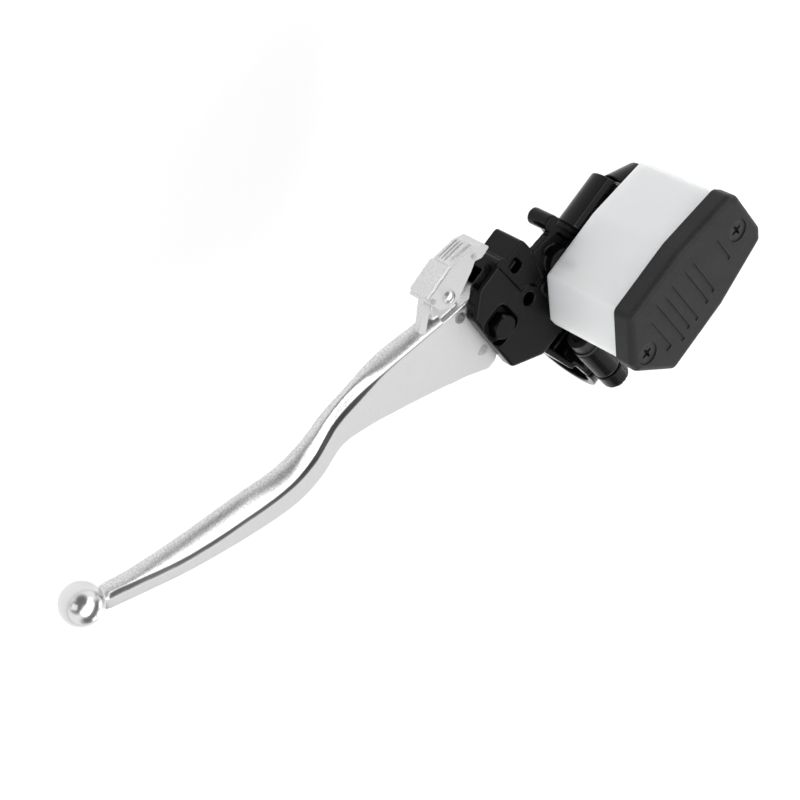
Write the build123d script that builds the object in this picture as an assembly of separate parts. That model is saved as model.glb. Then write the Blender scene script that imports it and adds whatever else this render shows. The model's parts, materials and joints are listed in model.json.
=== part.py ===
from build123d import *
import math
import os

# Lever-operated hydraulic master cylinder for a 22.2 mm handlebar.
# Origin: centre of the handlebar clamp bore. +X inboard along the bar, +Y forward, +Z up. Millimetres.

# Handlebar clamp
BAR_R = 11.1
CLAMP_R = 14.2
CLAMP_HALF_W = 7.0
SPLIT_GAP = 1.0
CLAMP_BOLT_Z = 17.2
CLAMP_BOSS_R = 5.6
CLAMP_BOSS_FRONT = 16.5
CLAMP_BOSS_BACK = -7.6
ARM_CLEARANCE = 1.5
M6_R = 3.0
M4_R = 2.0
FIT = 0.05

# Cylinder barrel, parallel to the handlebar
BORE_Y = 39.0
BORE_Z = 4.5
BORE_R = 6.35
BARREL_R = 10.5
BORE_MOUTH_X = -3.5
BORE_END_X = 46.0
BARREL_END_X = 50.0
MOUTH_R = 8.0
MOUTH_DEPTH = 6.5

# Hose port, angled back towards the bar
PORT_START = (48.0, 38.2, BORE_Z)
PORT_FACE = (59.0, 30.92, BORE_Z)
PORT_BOSS_R = 8.0
PORT_R = 4.5
PORT_DEPTH = 10.0

# Lever bracket: two ears with a slot between them
PIVOT_X = -16.6
PIVOT_Y = 55.0
EAR_TOP = 15.0
EAR_BOTTOM = -6.0
SLOT_TOP = 9.75
SLOT_BOTTOM = -0.75
SLOT_END_X = -6.7
BLOCK_FRONT_Y = 73.0
BLOCK_OUTBOARD_X = -3.6
BLOCK_INBOARD_X = 9.5
BLOCK_TOP = 14.2

# Deck that carries the reservoir
DECK_TOP = 15.0
PAD_TOP = 18.3
SWITCH_BOSS = (20.8, 66.2)
SWITCH_BOSS_R = 3.1
SWITCH_BOSS_LOW = 5.0
SWITCH_HOLE_R = 1.65
SWITCH_HOLE_TOP = 12.5
LEDGE_HOLE_R = 2.5
LEDGE_HOLE = (-3.3, 53.2)

# Reservoir and cap, centred over the barrel
TANK_X = 28.0
TANK_Y = 40.0
TANK_FLOOR = 18.5
TANK_TOP = 55.5
TANK_WALL = 2.0
CAP_OVERHANG = 1.3
CAP_BOTTOM = 53.0
CAP_TOP = 61.0
CAP_PLATE_BOTTOM = 57.5
CAP_SCREW_X = 26.0
FEED_X = (12.0, 29.0)
NIPPLE_R = 3.5

# Lever
LEVER_TOP = 9.5
LEVER_BOTTOM = -0.5
LEVER_AXIS_DEG = 155.7
LEVER_HUB_R = 7.5
CAM_NOSE_R = 3.0
CAM_NOSE = (4.6, -16.0)
BALL_S = 172.2
BALL_R = 7.4
BUSH_R = 4.2

# Parking latch
LATCH_PIVOT = (-22.4, 83.8)
LATCH_TOP = 13.0
LATCH_BOTTOM = 3.0
LATCH_SHEET = 1.6
LUG_BOTTOM = 4.9
LUG_TOP = 7.2
TAIL_BOTTOM = 8.0
TAIL_TOP = 10.8
RIB_HEIGHTS = (4.2, 5.8, 7.4)
RIB_GROOVE = 0.6
SCOOP = (9.9, 11.5)

# Piston
PISTON_NOSE_X = -8.7
PISTON_R = 6.30
STOP_X = 3.0

os.makedirs("parts", exist_ok=True)


# ---------------------------------------------------------------- helpers

def rod(radius, start, end):
    """Solid cylinder between two points."""
    axis = Vector(*end) - Vector(*start)
    place = Plane(origin=start, z_dir=axis)
    return place * Cylinder(radius, axis.length, align=(Align.CENTER, Align.CENTER, Align.MIN))


def cone(radius_a, radius_b, start, end):
    """Solid cone between two points."""
    axis = Vector(*end) - Vector(*start)
    place = Plane(origin=start, z_dir=axis)
    return place * Cone(radius_a, radius_b, axis.length, align=(Align.CENTER, Align.CENTER, Align.MIN))


def post(radius, x, y, low, high):
    """Vertical cylinder."""
    return rod(radius, (x, y, low), (x, y, high))


def ring(outer, inner, x, y, low, high):
    """Vertical tube."""
    return post(outer, x, y, low, high) - post(inner, x, y, low - 1, high + 1)


def bore_ring(outer, inner, start, end):
    """Tube on the cylinder bore's axis."""
    return bore_rod(outer, start, end) - bore_rod(inner, start - 1, end + 1)


def bore_rod(radius, start, end):
    """Cylinder on the cylinder bore's axis."""
    return rod(radius, (start, BORE_Y, BORE_Z), (end, BORE_Y, BORE_Z))


def block(low, high):
    """Box between two corners."""
    size = [b - a for a, b in zip(low, high)]
    return Pos(*low) * Box(*size, align=(Align.MIN, Align.MIN, Align.MIN))


def prism(points, low, high, radius=0.0):
    """Vertical prism of a closed outline, with all its corners rounded."""
    face = make_face(Polyline(*points, close=True))
    if radius:
        face = fillet(face.vertices(), radius)
    return extrude(Pos(0, 0, low) * face, high - low)


def rounded_top(solid, radius):
    """Round the edges of the highest face."""
    top = solid.faces().sort_by(Axis.Z)[-1]
    return fillet(top.edges(), radius)


def hexagon(across_flats, x, y, low, high):
    """Vertical hexagonal prism."""
    face = RegularPolygon(across_flats / 2, 6, major_radius=False)
    return extrude(Pos(x, y, low) * face, high - low)


def lever_point(s, t, z=0.0):
    """Point in the lever's own directions: s along the blade, t towards its front."""
    a = math.radians(LEVER_AXIS_DEG)
    x = PIVOT_X + s * math.cos(a) + t * math.sin(a)
    y = PIVOT_Y + s * math.sin(a) - t * math.cos(a)
    return (x, y, z)


def tank_outline(inset):
    """Plan outline shared by the cap and the reservoir, blunt at the outboard end."""
    half = [(-33.0, 2.2), (-22.5, 18.2), (5.5, 18.0), (31.2, 13.8), (33.7, 9.6)]
    points = half + [(x, -y) for x, y in reversed(half)]
    face = make_face(Polyline(*points, close=True))
    face = fillet(face.vertices(), 2.8)
    if inset:
        face = offset(face, amount=-inset)
    return Pos(TANK_X, TANK_Y, 0) * face


def tank_prism(inset, low, high):
    """Vertical prism of the tank outline."""
    return extrude(Pos(0, 0, low) * tank_outline(inset), high - low)


def cross_recess(x, y, top, size, depth):
    """Cross-shaped driver recess."""
    across = block((x - size / 2, y - 0.45, top - depth), (x + size / 2, y + 0.45, top + 1))
    along = block((x - 0.45, y - size / 2, top - depth), (x + 0.45, y + size / 2, top + 1))
    centre = cone(0.5, 1.1, (x, y, top - depth - 0.3), (x, y, top + 0.1))
    return across + along + centre


def cap_screw_places():
    return [(TANK_X - CAP_SCREW_X, TANK_Y), (TANK_X + CAP_SCREW_X, TANK_Y)]


# Two screws from below hold the reservoir down, one in front of the barrel and one behind it.
TANK_SCREWS = ((13.3, 54.2), (36.0, 25.8))


# ---------------------------------------------------------------- body casting

def bracket():
    """Ears, their back wall and the square block inboard of them."""
    outline = [
        (0.0, 28.5), (-13.6, 29.2), (-24.8, 38.6), (-23.6, 57.0),
        (-22.6, 68.0), (-13.6, 75.6), (0.0, 75.6),
    ]
    ears = rounded_top(prism(outline, EAR_BOTTOM, EAR_TOP, 2.4), 1.1)
    ears -= block((BLOCK_OUTBOARD_X, 56, BLOCK_TOP), (10, 80, 20))
    slot = block((-40, 20, SLOT_BOTTOM), (BORE_MOUTH_X, 51, SLOT_TOP))
    slot += block((-40, 50, SLOT_BOTTOM), (SLOT_END_X, 80, SLOT_TOP))
    shoulder = block((BORE_MOUTH_X, 28.5, EAR_BOTTOM), (6, 53, EAR_TOP))
    shoulder += post(5.0, *LEDGE_HOLE, 10, EAR_TOP)
    front = prism(
        [(SLOT_END_X, 51), (SLOT_END_X, BLOCK_FRONT_Y),
         (BLOCK_INBOARD_X, BLOCK_FRONT_Y), (BLOCK_INBOARD_X, 51)],
        0.5, BLOCK_TOP, 1.6,
    )
    rib = block((-1, 46, EAR_BOTTOM), (4, 66, 1))
    pocket = prism([(-0.8, 65.2), (-0.8, 70.6), (3.8, 70.6), (3.8, 65.2)], BLOCK_TOP - 3.5, 20, 1.2)
    return ears - slot + shoulder + front + rib - pocket


def head_recess():
    """Recess round the pivot bolt's head: close behind it, open towards the front of the ear."""
    return prism(
        [(PIVOT_X - 7.0, PIVOT_Y - 4.9), (PIVOT_X + 5.6, PIVOT_Y - 4.9),
         (PIVOT_X + 5.6, PIVOT_Y + 8.6), (PIVOT_X - 5.8, PIVOT_Y + 8.6)],
        12.0, EAR_TOP + 1, 3.0,
    )


def deck():
    """Platform under the reservoir, its front lip and the two screw tabs."""
    plate = block((-2, 28, 12), (48, 54, DECK_TOP))
    pad = prism([(2, 28), (2, 52), (50, 51), (50, 29)], 12, PAD_TOP, 3.0)
    lip = prism([(4, 48), (8.7, 65.6), (22.6, 63.9), (26.6, 48)], 12, DECK_TOP, 1.0)
    lip -= prism([(11.2, 45), (11.6, 62.8), (20.2, 61.8), (23.4, 45)], 13.4, 20, 1.0)
    edge_rib = rod(1.9, (22.4, 64.6, 13.6), (26.0, 50.0, 13.6))
    front_tab = post(5.2, *TANK_SCREWS[0], 12, PAD_TOP)
    rear_tab = post(5.2, *TANK_SCREWS[1], 12, PAD_TOP)
    web = block((6.8, 45, 1), (9.2, 64, 13))
    boss_web = prism([(17, 46), (18.6, 64), (23, 64), (25.5, 46)], 8, 13)
    boss = post(SWITCH_BOSS_R, *SWITCH_BOSS, SWITCH_BOSS_LOW, DECK_TOP)
    return plate + pad + lip + edge_rib + front_tab + rear_tab + web + boss_web + rounded_top(boss, 0.8)


def clamp_half(sign):
    """Half of the handlebar clamp with its two bolt bosses. sign is +1 for the body, -1 for the cap."""
    tube = rod(CLAMP_R, (-CLAMP_HALF_W, 0, 0), (CLAMP_HALF_W, 0, 0))
    reach = CLAMP_BOSS_FRONT if sign > 0 else CLAMP_BOSS_BACK
    for z in (-CLAMP_BOLT_Z, CLAMP_BOLT_Z):
        tube += rod(CLAMP_BOSS_R, (0, 0, z), (0, reach, z))
    low = (-30, SPLIT_GAP / 2, -60) if sign > 0 else (-30, -60, -60)
    high = (30, 60, 60) if sign > 0 else (30, -SPLIT_GAP / 2, 60)
    return tube & block(low, high)


def arm():
    """Arm between the barrel and the clamp: two side walls and a middle web."""
    outer = prism([(-12.4, 29), (-8.0, 1), (-5.9, 1), (-9.8, 29)], -9, 11)
    inner = block((CLAMP_HALF_W - 2.2, 1, -9), (CLAMP_HALF_W, 30, 11))
    web = prism([(-10, 34), (-7, 1), (CLAMP_HALF_W, 1), (CLAMP_HALF_W, 34)], -5, 3.5)
    cross_rib = block((-8, 18.6, 0), (CLAMP_HALF_W, 20.2, 9.0))
    brace = block((CLAMP_HALF_W - 2.2, 20, -5), (24, 36, 0))
    return outer + inner + web + cross_rib + brace


def body_casting():
    solid = bore_rod(BARREL_R, BORE_MOUTH_X, BARREL_END_X)
    solid += rod(PORT_BOSS_R, PORT_START, PORT_FACE)
    solid += bracket() + deck() + arm() + clamp_half(1)

    # Cylinder bore, its mouth and the circlip groove
    solid -= bore_rod(BORE_R, BORE_MOUTH_X - 1, BORE_END_X)
    solid -= bore_rod(MOUTH_R, BORE_MOUTH_X - 1, BORE_MOUTH_X + MOUTH_DEPTH)
    solid -= bore_rod(MOUTH_R + 1.0, 1.0, 2.2)
    # Hose port and its drilling into the bore
    port_axis = Vector(*PORT_FACE) - Vector(*PORT_START)
    bottom = Vector(*PORT_FACE) - port_axis.normalized() * PORT_DEPTH
    solid -= rod(PORT_R, tuple(bottom), PORT_FACE)
    solid -= rod(1.6, tuple(bottom - port_axis.normalized() * 8), tuple(bottom + port_axis.normalized()))
    # Handlebar bore, the arm's clearance outboard of it and the tapped bolt holes
    solid -= rod(BAR_R, (-30, 0, 0), (30, 0, 0))
    solid -= rod(BAR_R + ARM_CLEARANCE, (-30, 0, 0), (-CLAMP_HALF_W, 0, 0))
    for z in (-CLAMP_BOLT_Z, CLAMP_BOLT_Z):
        solid -= rod(M6_R + 0.3, (0, -5, z), (0, 30, z))
        solid -= rod(7.0, (0, CLAMP_BOSS_FRONT, z), (0, CLAMP_BOSS_FRONT + 7, z))
    # Pivot bolt hole, head recess and bracket holes
    solid -= post(M6_R + FIT, PIVOT_X, PIVOT_Y, -20, 30)
    solid -= head_recess()
    solid -= post(LEDGE_HOLE_R, *LEDGE_HOLE, -20, 30)
    solid -= post(SWITCH_HOLE_R, *SWITCH_BOSS, 0, SWITCH_HOLE_TOP)
    # Feed sockets, feed drilling and screw holes under the reservoir
    for x in FEED_X:
        solid -= post(6.0, x, BORE_Y, 13.4, 30)
        solid -= post(1.2, x, BORE_Y, BORE_Z, 14)
    for x, y in TANK_SCREWS:
        solid -= post(M4_R + FIT, x, y, 5, 30)
    return solid


def clamp_cap():
    solid = clamp_half(-1)
    solid -= rod(BAR_R, (-30, 0, 0), (30, 0, 0))
    for z in (-CLAMP_BOLT_Z, CLAMP_BOLT_Z):
        solid -= rod(M6_R + FIT, (0, CLAMP_BOSS_BACK + 1.5, z), (0, 5, z))
    return solid


WASHER_T = 1.0


def clamp_washers():
    rings = []
    for z in (-CLAMP_BOLT_Z, CLAMP_BOLT_Z):
        seat = (0, CLAMP_BOSS_FRONT, z)
        washer = rod(5.4, seat, (0, CLAMP_BOSS_FRONT + WASHER_T, z)) - rod(M6_R + 0.2, (0, 0, z), (0, 40, z))
        rings.append(washer.solid())
    return Compound(children=rings)


def clamp_bolts():
    """Socket-head bolts put in from the front, threaded into the clamp cap."""
    seat = CLAMP_BOSS_FRONT + WASHER_T
    bolts = []
    for z in (-CLAMP_BOLT_Z, CLAMP_BOLT_Z):
        bolt = rod(4.8, (0, seat, z), (0, seat + 4.6, z)) + rod(M6_R, (0, CLAMP_BOSS_BACK + 2.5, z), (0, seat, z))
        socket = Pos(0, seat + 5, z) * Rot(90, 0, 0) * extrude(RegularPolygon(2.5, 6, major_radius=False), 3.0)
        bolts.append((bolt - socket).solid())
    return Compound(children=bolts)


# ---------------------------------------------------------------- reservoir

def reservoir():
    shell = tank_prism(CAP_OVERHANG, TANK_FLOOR, TANK_TOP)
    shell -= tank_prism(CAP_OVERHANG + TANK_WALL, TANK_FLOOR + 2.2, TANK_TOP + 1)
    inside = tank_prism(CAP_OVERHANG + 0.5, TANK_FLOOR, TANK_TOP)
    for x, y in cap_screw_places():
        column = post(4.3, x, y, TANK_FLOOR + 1, TANK_TOP) & inside
        shell += column
        shell -= post(M4_R + FIT, x, y, 36, TANK_TOP + 1)
    for x, y in TANK_SCREWS:
        shell += post(4.0, x, y, TANK_FLOOR, 29) & inside
        shell -= post(M4_R + FIT, x, y, TANK_FLOOR - 1, 26.5)
    for x in FEED_X:
        shell += post(NIPPLE_R, x, BORE_Y, 14.0, TANK_FLOOR + 1)
        shell -= post(2.0, x, BORE_Y, 10, 30)
    return shell


def reservoir_seals():
    rings = [ring(5.95, NIPPLE_R + FIT, x, BORE_Y, 13.5, 18.2).solid() for x in FEED_X]
    return Compound(children=rings)


def reservoir_screws():
    screws = []
    for x, y in TANK_SCREWS:
        screw = post(M4_R, x, y, 11, 25.5) + rounded_low(post(3.7, x, y, 9.4, 11.9), 1.0)
        screw -= cross_recess_below(x, y, 9.4)
        screws.append(screw.solid())
    return Compound(children=screws)


def rounded_low(solid, radius):
    """Round the edges of the lowest face."""
    low = solid.faces().sort_by(Axis.Z)[0]
    return fillet(low.edges(), radius)


def cross_recess_below(x, y, low):
    """Driver recess that opens downwards."""
    across = block((x - 2, y - 0.45, low - 1), (x + 2, y + 0.45, low + 1.3))
    along = block((x - 0.45, y - 2, low - 1), (x + 0.45, y + 2, low + 1.3))
    return across + along


def baffle_plate():
    """Thin plate on two legs that stops fluid spouting from the feed hole."""
    x = FEED_X[1]
    plate = block((x - 6, BORE_Y - 6, 23.4), (x + 6, BORE_Y + 6, 24.2))
    legs = block((x - 6, BORE_Y - 6, 20.75), (x - 5.2, BORE_Y + 6, 24.2))
    legs += block((x + 5.2, BORE_Y - 6, 20.75), (x + 6, BORE_Y + 6, 24.2))
    solid = plate + legs
    for dx, dy in ((-3, -3), (3, -3), (-3, 3), (3, 3)):
        solid -= post(0.9, x + dx, BORE_Y + dy, 22, 26)
    return solid


DIAPHRAGM_TOP = 56.7


def diaphragm():
    """Rubber sheet clamped between reservoir and cap, with a hanging bellows."""
    sheet = tank_prism(CAP_OVERHANG + 0.1, TANK_TOP, DIAPHRAGM_TOP)
    outer = prism([(10, 27), (10, 53), (45, 51), (45, 29)], 44, TANK_TOP + 0.5, 4.0)
    inner = prism([(11.2, 28.2), (11.2, 51.8), (43.8, 49.9), (43.8, 30.1)], 45.2, DIAPHRAGM_TOP + 1, 3.0)
    solid = sheet + outer - inner
    for x, y in cap_screw_places():
        solid -= post(M4_R + 0.2, x, y, 50, 60)
    return solid


def diaphragm_plate():
    solid = tank_prism(CAP_OVERHANG + 0.4, DIAPHRAGM_TOP, CAP_PLATE_BOTTOM)
    solid -= prism([(14, 31), (14, 49), (41, 48), (41, 32)], 50, 60, 3.0)
    for x, y in cap_screw_places():
        solid -= post(M4_R + 0.2, x, y, 50, 60)
    return solid


HEAD_R = 4.0
HEAD_TOP = CAP_TOP - 0.45
HEAD_LOW = HEAD_TOP - 2.1
CAP_GROOVE_DEPTH = 0.3
CAP_GROOVES = (
    (-20.4, 2.6, 8.0), (-14.0, 1.4, 11.5), (-9.8, 1.4, 10.0), (-5.6, 1.4, 11.0),
    (1.0, 1.4, 10.0), (5.2, 1.4, 9.0), (17.0, 1.2, 5.5),
)


def reservoir_cap():
    solid = rounded_top(tank_prism(0, CAP_BOTTOM, CAP_TOP), 2.4)
    solid -= tank_prism(CAP_OVERHANG - 0.1, CAP_BOTTOM - 1, CAP_PLATE_BOTTOM)
    for x, y in cap_screw_places():
        solid -= post(M4_R + 0.2, x, y, 50, 70)
        solid -= cone(M4_R + 0.2, HEAD_R + 0.15, (x, y, HEAD_LOW), (x, y, HEAD_TOP))
        solid -= post(HEAD_R + 0.15, x, y, HEAD_TOP, 70)
    # Plain shallow grip grooves across the cap
    for x, width, reach in CAP_GROOVES:
        low = (TANK_X + x, TANK_Y - reach, CAP_TOP - CAP_GROOVE_DEPTH)
        solid -= block(low, (TANK_X + x + width, TANK_Y + reach, CAP_TOP + 1))
    return solid


def cap_screws():
    screws = []
    for x, y in cap_screw_places():
        screw = post(M4_R, x, y, 42, HEAD_TOP - 0.5)
        screw += cone(M4_R, HEAD_R, (x, y, HEAD_LOW), (x, y, HEAD_TOP))
        screw -= cross_recess(x, y, HEAD_TOP, 4.2, 1.3)
        screws.append(screw.solid())
    return Compound(children=screws)


# ---------------------------------------------------------------- hydraulics

PRIMARY_CUP = (22.0, 25.5)
SECONDARY_CUP = (6.2, 9.6)


def piston():
    solid = bore_rod(3.5, PISTON_NOSE_X, STOP_X + 1)
    solid += bore_rod(PISTON_R, STOP_X + 0.05, 6.1)
    solid += bore_rod(4.2, 6, 10)
    solid += bore_rod(PISTON_R, 9.7, 11.2)
    solid += bore_rod(4.0, 11, 19.5)
    solid += bore_rod(PISTON_R, 19.4, 21.9)
    solid += bore_rod(3.0, 21.5, 26)
    solid += bore_rod(4.4, 25.6, 27)
    return solid


def primary_cup():
    cup = bore_ring(PISTON_R - 0.02, 3.05, *PRIMARY_CUP)
    return cup - bore_ring(5.4, 4.3, 24.3, PRIMARY_CUP[1] + 1)


def secondary_cup():
    cup = bore_ring(PISTON_R - 0.02, 4.25, *SECONDARY_CUP)
    return cup - bore_ring(5.6, 5.0, 8.4, SECONDARY_CUP[1] + 1)


def return_spring():
    start = 27.6
    end = 44.6
    turns = 6
    wire = 0.55
    path = Pos(start, BORE_Y, BORE_Z) * Rot(0, 90, 0) * Helix((end - start) / turns, end - start, 5.0)
    section = Plane(origin=path @ 0, z_dir=path % 0) * Circle(wire)
    return sweep(section, path=path)


def spring_seat():
    return bore_ring(6.2, 2.4, 45.2, 45.95)


def stop_washer():
    return bore_ring(7.9, 3.75, 2.25, STOP_X - 0.02)


def retaining_ring():
    solid = bore_ring(8.8, 6.4, 1.1, 2.1)
    return solid - block((0, BORE_Y - 2.5, BORE_Z), (4, BORE_Y + 2.5, 20))


def dust_boot():
    solid = bore_ring(7.9, 6.0, BORE_MOUTH_X + 0.4, 0.9)
    solid += bore_ring(7.0, 3.58, BORE_MOUTH_X + 0.4, BORE_MOUTH_X + 1.5)
    return solid


# ---------------------------------------------------------------- lever pivot

def pivot_bolt():
    head = hexagon(9.0, PIVOT_X, PIVOT_Y, 12.05, 15.9)
    crown = cone(6.0, 4.2, (PIVOT_X, PIVOT_Y, 14.3), (PIVOT_X, PIVOT_Y, 15.9))
    head = head & (post(6.0, PIVOT_X, PIVOT_Y, 12.05, 14.3) + crown)
    return head + post(M6_R, PIVOT_X, PIVOT_Y, -11.5, 13)


def pivot_nut():
    nut = hexagon(10.0, PIVOT_X, PIVOT_Y, EAR_BOTTOM - 5.0, EAR_BOTTOM - 0.02)
    return nut - post(M6_R + 0.02, PIVOT_X, PIVOT_Y, -20, 0)


def pivot_bush():
    return ring(BUSH_R - 0.02, M6_R + FIT, PIVOT_X, PIVOT_Y, LEVER_BOTTOM, LEVER_TOP)


# ---------------------------------------------------------------- lever

def lever_hub():
    """Flat root of the lever between the ears, with the cam that pushes the piston."""
    nose = (PIVOT_X + CAM_NOSE[0], PIVOT_Y + CAM_NOSE[1])
    hub = post(LEVER_HUB_R, PIVOT_X, PIVOT_Y, LEVER_BOTTOM, LEVER_TOP)
    cam = make_hull(
        (Pos(PIVOT_X, PIVOT_Y, 0) * Circle(LEVER_HUB_R - 0.5)).edges()
        + (Pos(*nose, 0) * Circle(CAM_NOSE_R)).edges()
    )
    cam = extrude(Pos(0, 0, LEVER_BOTTOM) * cam, LEVER_TOP - LEVER_BOTTOM)
    plan = [
        lever_point(1.5, 15.8), lever_point(30.0, 11.4), lever_point(30.0, -11.2),
        lever_point(17.0, -13.7), lever_point(7.0, -16.9), lever_point(3.4, -15.4),
        lever_point(-3.0, -6.0), lever_point(-4.0, 9.0),
    ]
    plate = prism([(x, y) for x, y, z in plan], LEVER_BOTTOM, LEVER_TOP, 1.6)
    return hub + cam + plate


def blade_section(s, rear, ridge, top, low, step, shoulder, nose):
    """Closed section across the blade: flat top, a small step, a rounded front and a keel."""
    heel = lever_point(s, rear, low + 0.8)
    back = lever_point(s, rear, top)
    edge = lever_point(s, ridge, top)
    crest = lever_point(s, ridge + 0.2, top - step)
    middle = lever_point(s, ridge + shoulder[0], top - shoulder[1])
    front = lever_point(s, ridge + nose[0], top - nose[1])
    keel = lever_point(s, ridge - 0.25 * (ridge + nose[0] - rear), low)
    return make_face(Polyline(front, keel, heel, back, edge, crest) + ThreePointArc(crest, middle, front))


# Stations along the blade: distance, rear edge, ridge, top, underside, step below the ridge,
# then the shoulder and the nose of the front side, each as (distance out from the ridge, drop).
BLADE = (
    (27.0, -11.7, 11.9, 9.5, -0.5, 0.15, (2.3, 1.8), (3.3, 5.8)),
    (46.0, -8.1, 9.5, 9.5, -1.0, 0.35, (2.8, 2.0), (3.9, 6.1)),
    (60.0, -6.0, 5.8, 9.6, -1.6, 1.1, (3.5, 3.0), (4.9, 4.7)),
    (71.0, -6.0, 2.2, 9.8, -2.0, 1.1, (3.5, 3.0), (4.9, 4.8)),
    (82.0, -11.8, -4.6, 10.0, -2.2, 1.0, (4.2, 3.0), (6.0, 6.6)),
    (93.0, -14.9, -8.0, 10.0, -2.2, 0.8, (4.1, 2.9), (5.8, 7.1)),
    (110.0, -14.8, -8.6, 9.8, -2.0, 0.75, (4.6, 2.8), (6.6, 6.8)),
    (135.0, -12.0, -7.5, 9.4, -1.5, 0.8, (3.9, 2.5), (5.5, 6.3)),
    (155.0, -8.0, -3.6, 8.8, -0.2, 0.9, (1.7, 2.0), (2.4, 5.2)),
    (163.0, -6.2, -2.0, 8.65, 0.2, 0.4, (1.6, 1.5), (2.4, 4.9)),
    (167.0, -5.2, -0.8, 8.6, 0.6, 0.1, (1.6, 1.2), (2.4, 4.6)),
)


def lever_blade():
    """Blade in short straight spans between neighbouring stations."""
    sections = [blade_section(*row) for row in BLADE]
    return loft(sections, ruled=True)


def lever():
    ball = Pos(*lever_point(BALL_S, 0.0, BORE_Z)) * Sphere(BALL_R)
    lug = make_hull(
        (Pos(*LATCH_PIVOT, 0) * Circle(3.6)).edges()
        + (Pos(*lever_point(17, 11)[:2], 0) * Circle(6.0)).edges()
    )
    lug = extrude(Pos(0, 0, LUG_BOTTOM) * lug, LUG_TOP - LUG_BOTTOM)
    solid = lever_hub() + lever_blade() + ball + lug
    solid -= post(BUSH_R, PIVOT_X, PIVOT_Y, -20, 30)
    solid -= post(LATCH_PIN_R + 0.02, *LATCH_PIVOT, -20, 30)
    solid -= post(1.6, *lever_point(13.0, 10.4)[:2], LEVER_TOP - 5, 30)
    return solid


LATCH_PIN_R = 1.6


def stop_pin():
    """Hollow headed pin in the top of the lever, beside the ear."""
    x, y, z = lever_point(13.0, 10.4)
    shank = post(1.58, x, y, LEVER_TOP - 4.8, LEVER_TOP + 0.02)
    head = ring(2.1, 1.2, x, y, LEVER_TOP + 0.01, LEVER_TOP + 0.3)
    return shank + head - post(1.2, x, y, LEVER_TOP - 1.6, LEVER_TOP + 1)


# ---------------------------------------------------------------- parking latch

def latch():
    """Folded shell that swings on the lever's lug, with a tail that rests against the blade."""
    plan = [
        (-29.3, 90.3), (-14.2, 90.9), (-5.2, 88.9), (-1.2, 86.2), (-0.3, 82.6),
        (-4.9, 82.2), (-7.4, 83.9), (-10.7, 82.4), (-20.2, 79.5), (-24.3, 79.7), (-28.0, 83.6),
    ]
    shell = prism(plan, LATCH_BOTTOM, LATCH_TOP, 0.6)
    inner = [
        (-30.5, 88.6), (-14.4, 89.2), (-6.0, 87.4), (-3.4, 85.6), (-3.0, 80.0), (-14.0, 74.0), (-31.0, 74.0),
    ]
    shell -= prism(inner, LATCH_BOTTOM + LATCH_SHEET, LATCH_TOP - LATCH_SHEET)
    pad = prism([(-28.4, 89.0), (-27.6, 91.4), (-15.6, 92.0), (-13.4, 90.2)], LATCH_BOTTOM, LATCH_TOP - 0.7, 0.9)
    tail = prism(
        [(-25.5, 89.9), (-29.5, 89.9), (-38.2, 82.4), (-36.8, 79.8), (-34.6, 81.4), (-28.0, 86.4)],
        TAIL_BOTTOM, TAIL_TOP, 0.7,
    )
    solid = shell + pad + tail
    # Three grip grooves and the scoop below the fold, inboard of the pad
    for z in RIB_HEIGHTS:
        solid -= prism([(-13.6, 90.3), (-13.6, 93), (-4.0, 92), (-4.4, 88.0)], z, z + RIB_GROOVE)
    solid -= prism([(-17.5, 93), (-12.0, 90.0), (-4.2, 87.7), (-2.0, 92)], SCOOP[0], SCOOP[1])
    solid -= post(LATCH_PIN_R + 0.06, *LATCH_PIVOT, -20, 30)
    return solid


def latch_pin():
    """Rivet through the lever's lug and both plates of the latch."""
    x, y = LATCH_PIVOT
    dome = Pos(x, y, LATCH_TOP - 1.2) * Sphere(2.9) & post(2.5, x, y, LATCH_TOP + 0.06, LATCH_TOP + 3)
    tail = rounded_low(post(2.3, x, y, LATCH_BOTTOM - 1.2, LATCH_BOTTOM - 0.06), 0.5)
    return post(LATCH_PIN_R, x, y, LATCH_BOTTOM - 0.5, LATCH_TOP + 0.5) + dome + tail


def latch_rivets():
    """Two small flush studs in the latch's top plate."""
    studs = []
    for x, y in ((-27.4, 88.6), (-6.6, 86.0)):
        studs.append(post(1.0, x, y, LATCH_TOP + 0.0, LATCH_TOP + 0.35).solid())
    return Compound(children=studs)


def latch_spring():
    """Coil of the latch's return spring, round the rivet above the lug."""
    x, y = LATCH_PIVOT
    return ring(2.9, 1.9, x, y, LUG_TOP + 0.05, LATCH_TOP - LATCH_SHEET - 0.1)


# ---------------------------------------------------------------- write every piece

PIECES = {
    "body_casting": body_casting,
    "clamp_cap": clamp_cap,
    "clamp_washers": clamp_washers,
    "clamp_bolts": clamp_bolts,
    "reservoir": reservoir,
    "reservoir_seals": reservoir_seals,
    "reservoir_screws": reservoir_screws,
    "baffle_plate": baffle_plate,
    "diaphragm": diaphragm,
    "diaphragm_plate": diaphragm_plate,
    "reservoir_cap": reservoir_cap,
    "cap_screws": cap_screws,
    "piston": piston,
    "primary_cup": primary_cup,
    "secondary_cup": secondary_cup,
    "return_spring": return_spring,
    "spring_seat": spring_seat,
    "stop_washer": stop_washer,
    "retaining_ring": retaining_ring,
    "dust_boot": dust_boot,
    "pivot_bolt": pivot_bolt,
    "pivot_nut": pivot_nut,
    "pivot_bush": pivot_bush,
    "lever": lever,
    "stop_pin": stop_pin,
    "latch": latch,
    "latch_pin": latch_pin,
    "latch_rivets": latch_rivets,
    "latch_spring": latch_spring,
}

for name, make in PIECES.items():
    export_step(make(), f"parts/{name}.step")
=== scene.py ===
import bpy
import bmesh
import json
import math
from mathutils import Matrix, Vector


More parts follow.
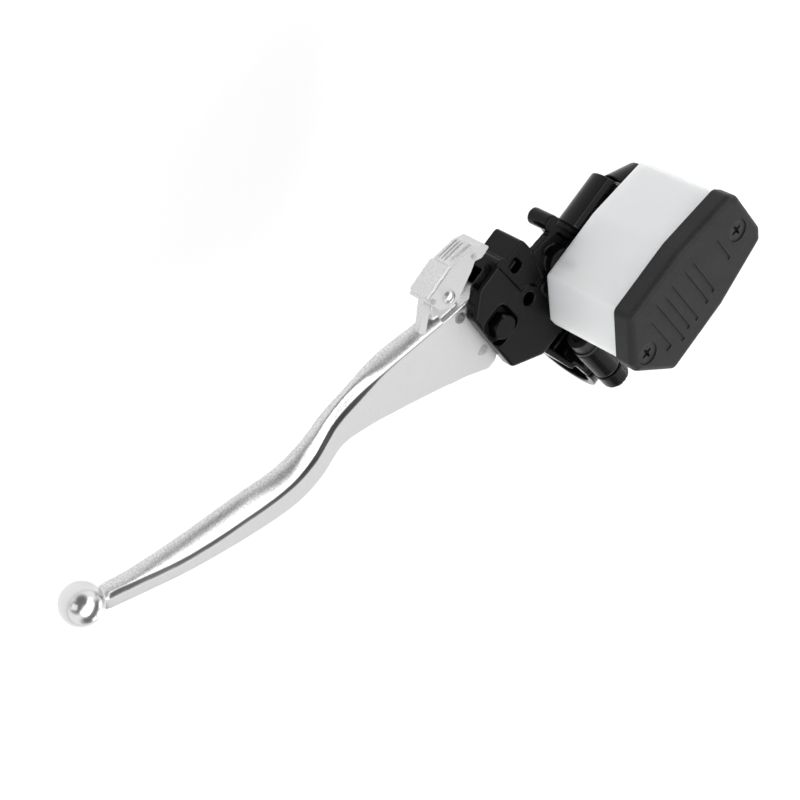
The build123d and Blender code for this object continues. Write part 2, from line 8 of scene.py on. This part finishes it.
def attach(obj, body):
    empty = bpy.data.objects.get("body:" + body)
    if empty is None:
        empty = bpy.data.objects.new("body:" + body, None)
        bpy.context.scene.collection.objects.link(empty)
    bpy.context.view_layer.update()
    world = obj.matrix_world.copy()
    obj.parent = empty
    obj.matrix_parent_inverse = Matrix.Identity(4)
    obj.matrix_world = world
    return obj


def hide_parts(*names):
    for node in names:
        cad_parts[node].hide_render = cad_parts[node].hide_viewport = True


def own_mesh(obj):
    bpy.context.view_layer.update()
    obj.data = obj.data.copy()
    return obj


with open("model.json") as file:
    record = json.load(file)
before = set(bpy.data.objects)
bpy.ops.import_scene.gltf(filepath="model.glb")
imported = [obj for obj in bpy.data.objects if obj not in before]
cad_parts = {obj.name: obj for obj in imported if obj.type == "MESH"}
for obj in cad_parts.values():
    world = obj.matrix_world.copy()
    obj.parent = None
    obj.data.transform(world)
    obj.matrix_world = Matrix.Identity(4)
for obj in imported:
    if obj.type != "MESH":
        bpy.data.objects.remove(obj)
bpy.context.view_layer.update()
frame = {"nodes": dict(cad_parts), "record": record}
MM = 0.001

# Places and sizes that the CAD model sets, in millimetres, and the direction of the lever
BORE_Y = 39.0
BORE_Z = 4.5
PIVOT = (-16.6, 55.0)
LEVER_AXIS = math.radians(155.7)
LEVER_TOP = 9.5
BALL_S = 172.2
BALL_R = 7.4
LATCH_PIVOT = (-22.4, 83.8)
LUG_TOP = 7.2

# Places along the lever, measured from its pivot: one past the lug, where the root is cut off, where the
# step beside the flat top starts and ends, and where the flat top ends
LUG_END = 30.0
ROOT_END = 24.0
STEP_START = 20.0
STEP_END = 164.2
FLAT_END = 167.3

# Least upward part of a surface's normal for it to count as level, nearly level or facing up
LEVEL = 0.98
NEARLY_LEVEL = 0.75
UPWARD = 0.1

# Camera: place in millimetres, direction of view, direction that is up in the picture, lens
CAMERA_PLACE = (-101.96, 493.95, 416.11)
CAMERA_FORWARD = (0.0727, -0.7202, -0.6900)
CAMERA_UP = (0.802, 0.4535, -0.389)
CAMERA_LENS = 77.67

# Soft boxes, all turned to the part's middle: name, place and size in metres, radiance
PART_MIDDLE = (0.0, 0.04, 0.0)
SOFT_BOXES = (
    ("overhead_box", (0.0, 0.05, 1.6), (2.4, 1.4), 1.45),
    ("overhead_strip", (0.1, -0.12, 1.55), (1.6, 0.05), 13.0),
    ("back_box", (0.2, -1.7, 0.55), (2.2, 0.8), 1.7),
    ("left_box", (-0.9, 1.5, 0.8), (0.9, 0.9), 1.0),
    ("right_box", (1.2, 0.3, 1.3), (0.8, 0.8), 1.2),
)

# The surroundings are dimmer towards this direction and its mirror images, where the cosine of the
# angle to it rises from the first value to the second and the strength falls from the third to the last
DIM_DIRECTION = (0.35, 0.70, 0.62)
DIMMING = (("From Min", 0.74), ("From Max", 0.95), ("To Min", 1.14), ("To Max", 0.20))

# Floor: height and half its width, in metres
FLOOR_HEIGHT = -0.16
FLOOR_HALF = 4.0

# Plain finishes: colour, roughness, metallic, grain and bump in millimetres, mottling
PLAIN_FINISHES = {
    "black_screw": ((0.05, 0.05, 0.052), 0.34, 0.6, 0.5, 0.012, 0.2),
    "zinc_steel": ((0.66, 0.66, 0.65), 0.28, 1.0, 0.8, 0.008, 0.06),
    "rubber": ((0.022, 0.022, 0.023), 0.62, 0.0, 0.7, 0.02, 0.06),
    "brass": ((0.78, 0.58, 0.26), 0.30, 1.0, 0.6, 0.008, 0.06),
    "piston_aluminium": ((0.62, 0.63, 0.64), 0.32, 1.0, 0.5, 0.006, 0.06),
}
FLOOR_FINISH = ((0.97, 0.97, 0.97), 0.95, 0.0, 40.0, 0.0, 0.01)

# Small bevels on CAD nodes that stay, in millimetres, and the least angle of an edge that gets one
BEVEL_DEGREES = 32.0
BEVELS = (("pivot_bolt", 0.35), ("cap_screws", 0.12), ("clamp_bolts", 0.3), ("pivot_nut", 0.3))


# ---------------------------------------------------------------- camera, floor and light

def make_camera():
    """Camera in front of the part and above it, with the lever's ball at the lower left."""
    data = bpy.data.cameras.new("camera")
    data.lens = CAMERA_LENS
    data.sensor_width = 36.0
    data.clip_start = 0.02
    data.clip_end = 20.0
    camera = bpy.data.objects.new("camera", data)
    bpy.context.scene.collection.objects.link(camera)
    forward = Vector(CAMERA_FORWARD).normalized()
    up = Vector(CAMERA_UP)
    up = (up - forward * up.dot(forward)).normalized()
    right = forward.cross(up)
    camera.matrix_world = Matrix((right, up, -forward)).transposed().to_4x4()
    camera.location = Vector(CAMERA_PLACE) * MM
    bpy.context.scene.camera = camera


def soft_box(name, place, target, size, radiance):
    """Rectangular soft light that looks equally bright at any size or distance."""
    data = bpy.data.lights.new(name, "AREA")
    data.shape = "RECTANGLE"
    data.size, data.size_y = size
    data.energy = radiance * math.pi * size[0] * size[1]
    light = bpy.data.objects.new(name, data)
    bpy.context.scene.collection.objects.link(light)
    light.location = place
    light.rotation_euler = (Vector(target) - Vector(place)).to_track_quat("-Z", "Y").to_euler()


def make_light():
    """Pale studio: soft surroundings with dimmer stretches, four large soft boxes and a bright strip."""
    world = bpy.data.worlds.new("studio")
    bpy.context.scene.world = world
    world.use_nodes = True
    tree = world.node_tree
    place = tree.nodes.new("ShaderNodeTexCoord")
    mirrored = tree.nodes.new("ShaderNodeVectorMath")
    mirrored.operation = "ABSOLUTE"
    toward = tree.nodes.new("ShaderNodeVectorMath")
    toward.operation = "DOT_PRODUCT"
    toward.inputs[1].default_value = DIM_DIRECTION
    strength = tree.nodes.new("ShaderNodeMapRange")
    strength.interpolation_type = "SMOOTHSTEP"
    for socket, value in DIMMING:
        strength.inputs[socket].default_value = value
    tree.links.new(place.outputs["Generated"], mirrored.inputs[0])
    tree.links.new(mirrored.outputs["Vector"], toward.inputs[0])
    tree.links.new(toward.outputs["Value"], strength.inputs["Value"])
    tree.links.new(strength.outputs["Result"], tree.nodes["Background"].inputs["Strength"])
    tree.nodes["Background"].inputs["Color"].default_value = (1.0, 1.0, 1.0, 1.0)
    for name, spot, size, radiance in SOFT_BOXES:
        soft_box(name, spot, PART_MIDDLE, size, radiance)


def make_floor():
    """Plain pale floor well below the part."""
    mesh = bpy.data.meshes.new("floor")
    builder = bmesh.new()
    bmesh.ops.create_grid(builder, x_segments=1, y_segments=1, size=FLOOR_HALF)
    builder.to_mesh(mesh)
    builder.free()
    floor = bpy.data.objects.new("floor", mesh)
    floor.location = (0.0, 0.0, FLOOR_HEIGHT)
    bpy.context.scene.collection.objects.link(floor)
    floor.data.materials.append(material("floor_paper", *FLOOR_FINISH))


# ---------------------------------------------------------------- materials

class Shader:
    """Small helper that builds a node tree round one Principled shader."""

    def __init__(self, name, colour, roughness, metallic=0.0):
        self.material = bpy.data.materials.new(name)
        self.material.use_nodes = True
        self.tree = self.material.node_tree
        self.shader = self.tree.nodes["Principled BSDF"]
        self.set("Base Color", (*colour, 1.0))
        self.set("Roughness", roughness)
        self.set("Metallic", metallic)
        self.place = self.tree.nodes.new("ShaderNodeTexCoord").outputs["Object"]

    def set(self, socket, value):
        """Gives one of the shader's sockets a value that is the same all over."""
        self.shader.inputs[socket].default_value = value

    def drive(self, socket, source):
        """Lets a node's output set one of the shader's sockets."""
        self.link(source, self.shader.inputs[socket])

    def link(self, source, target):
        self.tree.links.new(source, target)

    def noise(self, grain_mm, detail=3.0, rough=0.55):
        """Noise whose features are about grain_mm across."""
        node = self.tree.nodes.new("ShaderNodeTexNoise")
        node.inputs["Scale"].default_value = 1.0 / (grain_mm * MM)
        node.inputs["Detail"].default_value = detail
        node.inputs["Roughness"].default_value = rough
        self.link(self.place, node.inputs["Vector"])
        return node.outputs["Fac"]

    def ramp(self, source, low, high, to_low=0.0, to_high=1.0):
        """Maps source from low..high to to_low..to_high."""
        node = self.tree.nodes.new("ShaderNodeMapRange")
        node.inputs["From Min"].default_value = low
        node.inputs["From Max"].default_value = high
        node.inputs["To Min"].default_value = to_low
        node.inputs["To Max"].default_value = to_high
        self.link(source, node.inputs["Value"])
        return node.outputs["Result"]

    def mix(self, factor, low, high):
        """Mixture of low and high, each a colour or a node's output."""
        node = self.tree.nodes.new("ShaderNodeMix")
        node.data_type = "RGBA"
        self.link(factor, node.inputs["Factor"])
        for socket, value in ((node.inputs["A"], low), (node.inputs["B"], high)):
            if isinstance(value, tuple):
                socket.default_value = (*value, 1.0)
            else:
                self.link(value, socket)
        return node.outputs["Result"]

    def math(self, kind, first, second):
        """Sum, product or other combination of two values, each a number or a node's output."""
        node = self.tree.nodes.new("ShaderNodeMath")
        node.operation = kind
        for socket, value in zip(node.inputs, (first, second)):
            if isinstance(value, (int, float)):
                socket.default_value = value
            else:
                self.link(value, socket)
        return node.outputs["Value"]

    def mask(self, name):
        """Value that a mesh carries at each of its points under this name, 0 where it has none."""
        node = self.tree.nodes.new("ShaderNodeAttribute")
        node.attribute_name = name
        return node.outputs["Fac"]

    def facing_up(self, low, high):
        """0 where the normal's upward part is low or less, rising to 1 where it is high or more."""
        coord = self.tree.nodes.new("ShaderNodeTexCoord")
        split = self.tree.nodes.new("ShaderNodeSeparateXYZ")
        self.link(coord.outputs["Normal"], split.inputs["Vector"])
        return self.ramp(split.outputs["Z"], low, high)

    def bump(self, height, distance_mm):
        """Shades the surface as if it rose by distance_mm where height is 1."""
        node = self.tree.nodes.new("ShaderNodeBump")
        node.inputs["Distance"].default_value = distance_mm * MM
        node.inputs["Strength"].default_value = 1.0
        self.link(height, node.inputs["Height"])
        self.drive("Normal", node.outputs["Normal"])


def material(name, colour, roughness, metallic, grain_mm, bump_mm, vary):
    """Plain finish with a little mottling in colour and roughness and a fine grain."""
    s = Shader(name, colour, roughness, metallic)
    slow = s.noise(grain_mm * 6)
    fine = s.noise(grain_mm * 0.35)
    dark = tuple(c * (1.0 - vary) for c in colour)
    light = tuple(min(1.0, c * (1.0 + vary)) for c in colour)
    s.drive("Base Color", s.mix(slow, dark, light))
    s.drive("Roughness", s.ramp(slow, 0.3, 0.7, roughness * 0.85, min(1.0, roughness * 1.15)))
    s.bump(fine, bump_mm)
    return s.material


def cast_aluminium():
    """Tumbled bright casting: sparkling grain, but even where "flat" is 1, shiny where "polish" is 1
    and painted dark grey with calm grain where "step" is 1: a painted dark reflection along the step."""
    s = Shader("cast_aluminium", (0.66, 0.66, 0.66), 0.4, 1.0)
    flat = s.mask("flat")
    polish = s.mask("polish")
    step = s.mask("step")
    grain = s.noise(0.50, 2.0, 0.6)
    speck = s.noise(0.22, 1.0, 0.5)
    patch = s.noise(7.0)
    side = s.mix(s.ramp(grain, 0.36, 0.64), (0.51, 0.51, 0.515), (0.77, 0.77, 0.775))
    even = s.mix(s.ramp(speck, 0.35, 0.65), (0.61, 0.61, 0.615), (0.67, 0.67, 0.675))
    rounded = s.mix(polish, side, (0.68, 0.68, 0.685))
    # Where "step" is 1 the colour is painted dark grey (0.16): a painted dark reflection along the step in
    # front of the flat top
    s.drive("Base Color", s.mix(step, s.mix(flat, rounded, even), (0.16, 0.16, 0.16)))
    rough = s.math("ADD", s.ramp(patch, 0.3, 0.7, 0.30, 0.37), s.math("MULTIPLY", flat, 0.28))
    s.drive("Roughness", s.math("SUBTRACT", rough, s.math("MULTIPLY", polish, 0.16)))
    calm = s.math("MAXIMUM", s.math("MULTIPLY", polish, 0.8), s.math("MAXIMUM", flat, step))
    coarse = s.math("SUBTRACT", 1.0, s.math("MULTIPLY", calm, 0.9))
    s.bump(s.math("MULTIPLY", s.math("ADD", grain, speck), coarse), 0.055)
    return s.material


def black_casting():
    """Glossy black paint over a casting: faint orange peel, duller on top faces, with painted light on top
    faces.
    """
    s = Shader("black_casting", (0.006, 0.006, 0.006), 0.3)
    s.set("Specular IOR Level", 0.16)
    up = s.facing_up(0.90, 0.99)
    peel = s.noise(1.3, 2.0)
    fine = s.noise(0.3, 2.0)
    # Painted light from above: faces that point up get twice the base colour of the sides
    s.drive("Base Color", s.mix(up, (0.003, 0.003, 0.003), (0.006, 0.006, 0.006)))
    rough = s.math("ADD", s.ramp(peel, 0.3, 0.7, 0.10, 0.16), s.math("MULTIPLY", up, 0.28))
    s.drive("Roughness", rough)
    s.bump(s.math("ADD", peel, s.math("MULTIPLY", fine, 0.35)), 0.035)
    return s.material


def cap_plastic():
    """Matte black moulding with a fine spark-eroded grain."""
    s = Shader("cap_plastic", (0.03, 0.03, 0.031), 0.5)
    s.set("Specular IOR Level", 0.28)
    grain = s.noise(0.45, 3.0, 0.65)
    slow = s.noise(9.0)
    mottle = s.math("ADD", s.math("MULTIPLY", grain, 0.8), s.math("MULTIPLY", slow, 0.2))
    speckle = s.ramp(mottle, 0.38, 0.62)
    s.drive("Base Color", s.mix(speckle, (0.006, 0.006, 0.0063), (0.020, 0.020, 0.0204)))
    s.drive("Roughness", s.ramp(grain, 0.3, 0.7, 0.42, 0.62))
    s.bump(grain, 0.10)
    return s.material


def tank_plastic():
    """Milky polypropylene that light sinks into."""
    s = Shader("tank_plastic", (0.95, 0.955, 0.95), 0.42)
    slow = s.noise(14.0)
    fine = s.noise(0.8, 2.0)
    s.drive("Base Color", s.mix(slow, (0.935, 0.94, 0.935), (0.965, 0.97, 0.962)))
    s.drive("Roughness", s.ramp(fine, 0.3, 0.7, 0.36, 0.48))
    s.set("Subsurface Weight", 0.55)
    s.set("Subsurface Radius", (0.012, 0.011, 0.010))
    s.set("Subsurface Scale", 0.6)
    s.bump(fine, 0.006)
    return s.material


def make_materials():
    """One procedural finish per material slot of the record."""
    finishes = {
        "cast_aluminium": cast_aluminium(),
        "body_black": black_casting(),
        "cap_plastic": cap_plastic(),
        "tank_plastic": tank_plastic(),
    }
    for slot, values in PLAIN_FINISHES.items():
        finishes[slot] = material(slot, *values)
    return finishes


# ---------------------------------------------------------------- meshes

def evaluated_copy(source, name):
    """New object with a copy of the mesh that source shows, modifiers applied."""
    graph = bpy.context.evaluated_depsgraph_get()
    mesh = bpy.data.meshes.new_from_object(source.evaluated_get(graph))
    mesh.name = name
    copy = bpy.data.objects.new(name, mesh)
    bpy.context.scene.collection.objects.link(copy)
    return copy


def apply_modifiers(obj):
    """Bakes obj's modifiers into its mesh."""
    bpy.context.view_layer.update()
    graph = bpy.context.evaluated_depsgraph_get()
    old = obj.data
    obj.data = bpy.data.meshes.new_from_object(obj.evaluated_get(graph))
    obj.modifiers.clear()
    bpy.data.meshes.remove(old)


def soften(obj, voxel_mm, rounds):
    """Remeshes obj in small voxels and smooths it, so its edges are rounded as on a casting."""
    remesh = obj.modifiers.new("voxels", "REMESH")
    remesh.mode = "VOXEL"
    remesh.voxel_size = voxel_mm * MM
    remesh.adaptivity = 0.0
    smooth = obj.modifiers.new("smooth", "SMOOTH")
    smooth.factor = 0.5
    smooth.iterations = rounds
    apply_modifiers(obj)
    for face in obj.data.polygons:
        face.use_smooth = True


def finish_piece(obj, body, slot, *replaced):
    """Paints a new piece with its slot's finish, hangs it under its body and hides the CAD nodes that it
    stands for.
    """
    obj.data.materials.clear()
    obj.data.materials.append(FINISH[slot])
    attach(obj, body)
    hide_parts(*replaced)


def edge_bevel(node, width_mm):
    """Breaks a CAD node's sharp edges with a small bevel."""
    obj = frame["nodes"][node]
    bevel = obj.modifiers.new("bevel", "BEVEL")
    bevel.width = width_mm * MM
    bevel.segments = 2
    bevel.limit_method = "ANGLE"
    bevel.angle_limit = math.radians(BEVEL_DEGREES)
    bevel.harden_normals = True
    for face in obj.data.polygons:
        face.use_smooth = True


def smooth_line(rows, x):
    """Value of each column at x: a smooth curve through rows, each of them (x, values...)."""
    k = 1
    while k < len(rows) - 1 and rows[k][0] < x:
        k += 1
    before, a, b, after = rows[max(k - 2, 0)], rows[k - 1], rows[k], rows[min(k + 1, len(rows) - 1)]
    span = b[0] - a[0]
    u = (x - a[0]) / span
    values = []
    for i in range(1, len(a)):
        slope_a = (b[i] - before[i]) / (b[0] - before[0]) * span
        slope_b = (after[i] - a[i]) / (after[0] - a[0]) * span
        h = u * u * (3 - 2 * u)
        values.append(
            a[i] * (1 - h) + b[i] * h + slope_a * (u - 2 * u * u + u ** 3) + slope_b * (u ** 3 - u * u)
        )
    return values


def lever_point(s, t, z):
    """Point in metres from the lever's own directions: s along the blade, t towards its front."""
    x = PIVOT[0] + s * math.cos(LEVER_AXIS) + t * math.sin(LEVER_AXIS)
    y = PIVOT[1] + s * math.sin(LEVER_AXIS) - t * math.cos(LEVER_AXIS)
    return Vector((x, y, z)) * MM


# Stations along the blade, close to the CAD lever's: distance, rear edge, ridge, top, underside, step
# below the ridge, nose out and down, and how full the curve between them is.
BLADE = (
    (20.0, -13.1, 12.7, 9.5, -0.5, 0.1, 3.0, 5.8, 0.50),
    (27.0, -11.7, 11.9, 9.5, -0.5, 0.15, 3.3, 5.8, 0.50),
    (46.0, -8.1, 9.5, 9.5, -1.0, 0.35, 3.9, 6.1, 0.50),
    (60.0, -6.0, 5.8, 9.6, -1.6, 1.3, 5.2, 3.8, 0.80),
    (71.0, -6.0, 2.2, 9.8, -2.0, 1.4, 5.2, 3.9, 0.82),
    (82.0, -11.8, -4.6, 10.0, -2.2, 1.3, 6.4, 5.6, 0.68),
    (93.0, -14.9, -8.0, 10.0, -2.2, 1.0, 5.8, 7.1, 0.50),
    (110.0, -14.8, -8.6, 9.8, -2.0, 0.9, 6.6, 6.8, 0.50),
    (135.0, -12.0, -7.5, 9.4, -1.5, 1.0, 5.5, 6.3, 0.50),
    (155.0, -8.0, -3.6, 8.8, -0.2, 1.1, 2.9, 5.2, 0.50),
    (163.0, -6.2, -2.0, 8.5, 0.2, 1.1, 2.6, 4.9, 0.50),
    (164.6, -5.9, -1.7, 8.4, 0.4, 0.08, 2.2, 4.5, 0.50),
    (167.0, -5.2, -0.9, 8.2, 0.8, 0.05, 1.9, 3.9, 0.50),
    (169.5, -5.2, -0.5, 8.8, 0.2, 0.05, 3.4, 4.4, 0.50),
)
RING_SPACING = 0.75

# Degrees below level at which the flank leaves the step where its curve has the even fullness, and how
# many fewer for each unit of fullness above that
EVEN_FULLNESS = 0.5
FLANK_TILT = 22.0
TILT_PER_FULLNESS = 35.0
FLANK_STEPS = 14
KEEL_STEPS = 10


def bezier(a, b, c, d, steps):
    """Points along the curve from a to d that leaves towards b and arrives from c."""
    points = []
    for k in range(steps + 1):
        u = k / steps
        v = 1.0 - u
        weights = (v * v * v, 3 * v * v * u, 3 * v * u * u, u * u * u)
        points.append(tuple(sum(w * p[i] for w, p in zip(weights, (a, b, c, d))) for i in (0, 1)))
    return points


def blade_ring(s):
    """Points of one section across the blade: flat top, small step, rounded front and keel."""
    rear, ridge, top, low, step, out, down, full = smooth_line(BLADE, s)
    crest = (ridge + 0.1 + step, top - step)
    nose = (ridge + out, top - down)
    keel = (ridge - 0.25 * (nose[0] - rear), low)
    width, height = nose[0] - crest[0], crest[1] - nose[1]
    tilt = math.radians(FLANK_TILT - TILT_PER_FULLNESS * (full - EVEN_FULLNESS))
    lean = (crest[0] + full * width, crest[1] - full * width * math.tan(tilt))
    points = bezier(crest, lean, (nose[0], nose[1] + full * height), nose, FLANK_STEPS)
    depth = nose[1] - keel[1]
    below = (nose[0], nose[1] - 0.3 * depth)
    points += bezier(nose, below, (keel[0] + 2.0, keel[1]), keel, KEEL_STEPS)[1:]
    points += [(rear + 1.2, low + 0.2), (rear, low + 1.2)]
    points += [(rear, top - 0.5), (rear + 0.5, top), (ridge, top)]
    return [lever_point(s, t, z) for t, z in points]


def make_blade():
    """Closed blade mesh in fine steps along the lever."""
    builder = bmesh.new()
    rings = []
    start, end = BLADE[0][0], BLADE[-1][0]
    count = round((end - start) / RING_SPACING)
    for k in range(count + 1):
        rings.append([builder.verts.new(p) for p in blade_ring(start + (end - start) * k / count)])
    skin(builder, rings)
    bmesh.ops.recalc_face_normals(builder, faces=builder.faces)
    mesh = bpy.data.meshes.new("blade")
    builder.to_mesh(mesh)
    builder.free()
    return mesh


def lever_root():
    """The CAD lever's hub, cam and lug, cut off a little past the blade's start and closed."""
    builder = bmesh.new()
    builder.from_mesh(frame["nodes"]["lever"].data)
    bmesh.ops.remove_doubles(builder, verts=builder.verts, dist=0.0005 * MM)
    along = (lever_point(1, 0, 0) - lever_point(0, 0, 0)).normalized()
    cut = bmesh.ops.bisect_plane(
        builder, geom=builder.verts[:] + builder.edges[:] + builder.faces[:],
        plane_co=lever_point(ROOT_END, 0, 0), plane_no=along, clear_outer=True,
    )
    edges = [g for g in cut["geom_cut"] if isinstance(g, bmesh.types.BMEdge)]
    bmesh.ops.holes_fill(builder, edges=edges)
    return builder


def skin(builder, rings):
    """Closed surface through rings of equally many points."""
    for a, b in zip(rings, rings[1:]):
        for i in range(len(a)):
            j = (i + 1) % len(a)
            builder.faces.new((a[i], a[j], b[j], b[i]))
    builder.faces.new(rings[0])
    builder.faces.new(list(reversed(rings[-1])))


def add_mark(builder, centre, normal, radius_mm, rise_mm):
    """Low round witness mark with a chamfered edge, proud of the surface by rise_mm."""
    sides = 28
    sunk_mm = 0.6
    turns = [2 * math.pi * k / sides for k in range(sides)]
    turn = normal.to_track_quat("Z", "Y")
    rings = []
    for r, z in ((radius_mm, -sunk_mm), (radius_mm, rise_mm * 0.6), (radius_mm * 0.92, rise_mm)):
        ring = [centre + turn @ Vector((r * MM * math.cos(a), r * MM * math.sin(a), z * MM)) for a in turns]
        rings.append([builder.verts.new(p) for p in ring])
    skin(builder, rings)


def paint_mask(obj, name, amount):
    """Stores amount(point, normal) under name at each point of obj, with the point in millimetres."""
    layer = obj.data.attributes.new(name, "FLOAT", "POINT")
    for i, vertex in enumerate(obj.data.vertices):
        layer.data[i].value = amount(vertex.co / MM, vertex.normal)


def lever_place(point):
    """The lever's own s and t of a point."""
    x, y = point.x - PIVOT[0], point.y - PIVOT[1]
    s = x * math.cos(LEVER_AXIS) + y * math.sin(LEVER_AXIS)
    return s, x * math.sin(LEVER_AXIS) - y * math.cos(LEVER_AXIS)


def lever_flatness(point, normal):
    """1 where a point lies on the flat top of the lever or of its lug, 0 elsewhere."""
    s, t = lever_place(point)
    lug_margin, fade_length, depth = 0.3, 1.5, 0.45
    if normal.z > LEVEL and s < LUG_END and abs(point.z - LUG_TOP) < lug_margin:
        return 1.0
    if s > FLAT_END or normal.z < NEARLY_LEVEL:
        return 0.0
    ridge, top = smooth_line(BLADE, max(s, STEP_START))[1:3]
    fade = min(1.0, (FLAT_END - s) / fade_length)
    return fade if t < ridge + 0.1 and point.z > top - depth else 0.0


def lever_step_painted_dark(point, normal):
    """1 on the small sloping step along the flat top's front edge, fading to 0 beside it: where the lever's
    colour is painted dark as a painted reflection.
    """
    s, t = lever_place(point)
    if not STEP_START < s < STEP_END or normal.z < UPWARD:
        return 0.0
    margin, fade_width, depth = 0.2, 0.3, 0.4
    ridge, top, _, step = smooth_line(BLADE, s)[1:5]
    middle, half = ridge + 0.05 + step / 2, 0.1 + step / 2
    if point.z < top - step - depth:
        return 0.0
    return max(0.0, min(1.0, (half + margin - abs(t - middle)) / fade_width))


def lever_polish(point, normal):
    """0 on the blade, rising to 1 over the neck and on the ball."""
    fade_length = 2.0
    return max(0.0, min(1.0, (lever_place(point)[0] - STEP_END) / fade_length))


def latch_flatness(point, normal):
    """1 on the latch's top plate, half as much on its front, 0 elsewhere."""
    if normal.z > 0.9:
        return 1.0
    return 0.5 if normal.y > 0.7 else 0.0


def make_lever():
    """Whole lever as one softened casting, with a round witness mark on its top and on its ball."""
    builder = lever_root()
    builder.from_mesh(make_blade())
    ball_centre = lever_point(BALL_S, 0, BORE_Z)
    ball = bmesh.ops.create_icosphere(builder, subdivisions=5, radius=BALL_R * MM)
    bmesh.ops.translate(builder, verts=ball["verts"], vec=ball_centre)
    mesh = bpy.data.meshes.new("lever_casting")
    builder.to_mesh(mesh)
    builder.free()
    lever = bpy.data.objects.new("lever_casting", mesh)
    bpy.context.scene.collection.objects.link(lever)
    soften(lever, 0.28, 2)
    marks = bmesh.new()
    marks.from_mesh(lever.data)
    rise_mm = 0.10
    top_mark = lever_point(7.7, -8.0, LEVER_TOP)
    add_mark(marks, top_mark, Vector((0, 0, 1)), 2.2, rise_mm)
    tilt = (lever_point(-0.35, -0.25, 0.9) - lever_point(0, 0, 0)).normalized()
    ball_mark = ball_centre + tilt * (BALL_R - 0.12) * MM
    add_mark(marks, ball_mark, tilt, 1.8, rise_mm)
    marks.to_mesh(lever.data)
    marks.free()
    # The "step" mask marks the strip that cast_aluminium paints dark grey, a painted dark reflection
    for name, amount in (("flat", lever_flatness), ("step", lever_step_painted_dark), ("polish", lever_polish)):
        paint_mask(lever, name, amount)
    finish_piece(lever, "lever", "cast_aluminium", "lever")


def make_castings():
    """Black body and clamp cap, and the latch, with rounded cast edges."""
    shells = (
        ("body_casting", "body_shell", 0.38, "perch", "body_black"),
        ("clamp_cap", "clamp_cap_shell", 0.4, "perch", "body_black"),
        ("latch", "latch_shell", 0.2, "latch", "cast_aluminium"),
    )
    for node, name, voxel_mm, body, slot in shells:
        shell = evaluated_copy(frame["nodes"][node], name)
        soften(shell, voxel_mm, 3)
        if node == "latch":
            paint_mask(shell, "flat", latch_flatness)
        finish_piece(shell, body, slot, node)


def wire(name, path, radius_mm):
    """Round wire through the points of path, given in millimetres."""
    sides = 10
    spots = [2 * math.pi * i / sides for i in range(sides)]
    rings = []
    builder = bmesh.new()
    for k, point in enumerate(path):
        ahead = (path[min(k + 1, len(path) - 1)] - path[max(k - 1, 0)]).normalized()
        turn = ahead.to_track_quat("Z", "Y")
        ring = [point + turn @ Vector((radius_mm * math.cos(a), radius_mm * math.sin(a), 0)) for a in spots]
        rings.append([builder.verts.new(p * MM) for p in ring])
    skin(builder, rings)
    bmesh.ops.recalc_face_normals(builder, faces=builder.faces)
    mesh = bpy.data.meshes.new(name)
    builder.to_mesh(mesh)
    builder.free()
    obj = bpy.data.objects.new(name, mesh)
    bpy.context.scene.collection.objects.link(obj)
    for face in mesh.polygons:
        face.use_smooth = True
    return obj


def make_latch_spring():
    """Torsion coil round the latch's rivet, with a leg from its lowest turn and one from its highest."""
    x, y = LATCH_PIVOT
    low = LUG_TOP + 0.5
    turns, steps, rise = 3, 28, 3.0
    radius, thick = 2.4, 0.4
    path = [Vector((-10.8, 82.6, low)), Vector((-15.5, 82.0, low))]
    for k in range(turns * steps + 1):
        a = -math.pi / 2 + 2 * math.pi * k / steps
        z = low + rise * k / (turns * steps)
        path.append(Vector((x + radius * math.cos(a), y + radius * math.sin(a), z)))
    path += [Vector((-16.5, 81.0, low + rise)), Vector((-12.5, 80.2, low + rise))]
    coil = wire("latch_torsion_spring", path, thick)
    finish_piece(coil, "lever", "black_screw", "latch_spring")


def make_return_spring():
    """Piston's return spring with closed end turns."""
    start, end = 27.6, 44.6
    radius, thick = 5.0, 0.55
    turns, steps = 6, 28
    closed_pitch = 1.6
    open_pitch = (end - start - 2 * closed_pitch) / (turns - 2)
    path = []
    for k in range(turns * steps + 1):
        turn = k / steps
        closed = min(turn, 1.0) + max(turn - (turns - 1), 0.0)
        x = start + closed * closed_pitch + (turn - closed) * open_pitch
        a = 2 * math.pi * turn
        path.append(Vector((x, BORE_Y + radius * math.cos(a), BORE_Z + radius * math.sin(a))))
    spring = wire("return_spring_coil", path, thick)
    finish_piece(spring, "perch", SLOTS["return_spring"], "return_spring")
    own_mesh(spring)


def paint_nodes():
    """Gives each CAD node its slot's finish."""
    for node, slot in SLOTS.items():
        obj = frame["nodes"][node]
        obj.data.materials.clear()
        obj.data.materials.append(FINISH[slot])


# Finish of each material slot, and slot of each CAD node
FINISH = make_materials()
SLOTS = {sub["node"]: sub["material_slot"] for sub in frame["record"]["subparts"]}
make_camera()
make_light()
make_floor()
paint_nodes()
make_lever()
make_castings()
make_latch_spring()
make_return_spring()
for name, width in BEVELS:
    edge_bevel(name, width)

bpy.context.scene.view_settings.view_transform = "Standard"
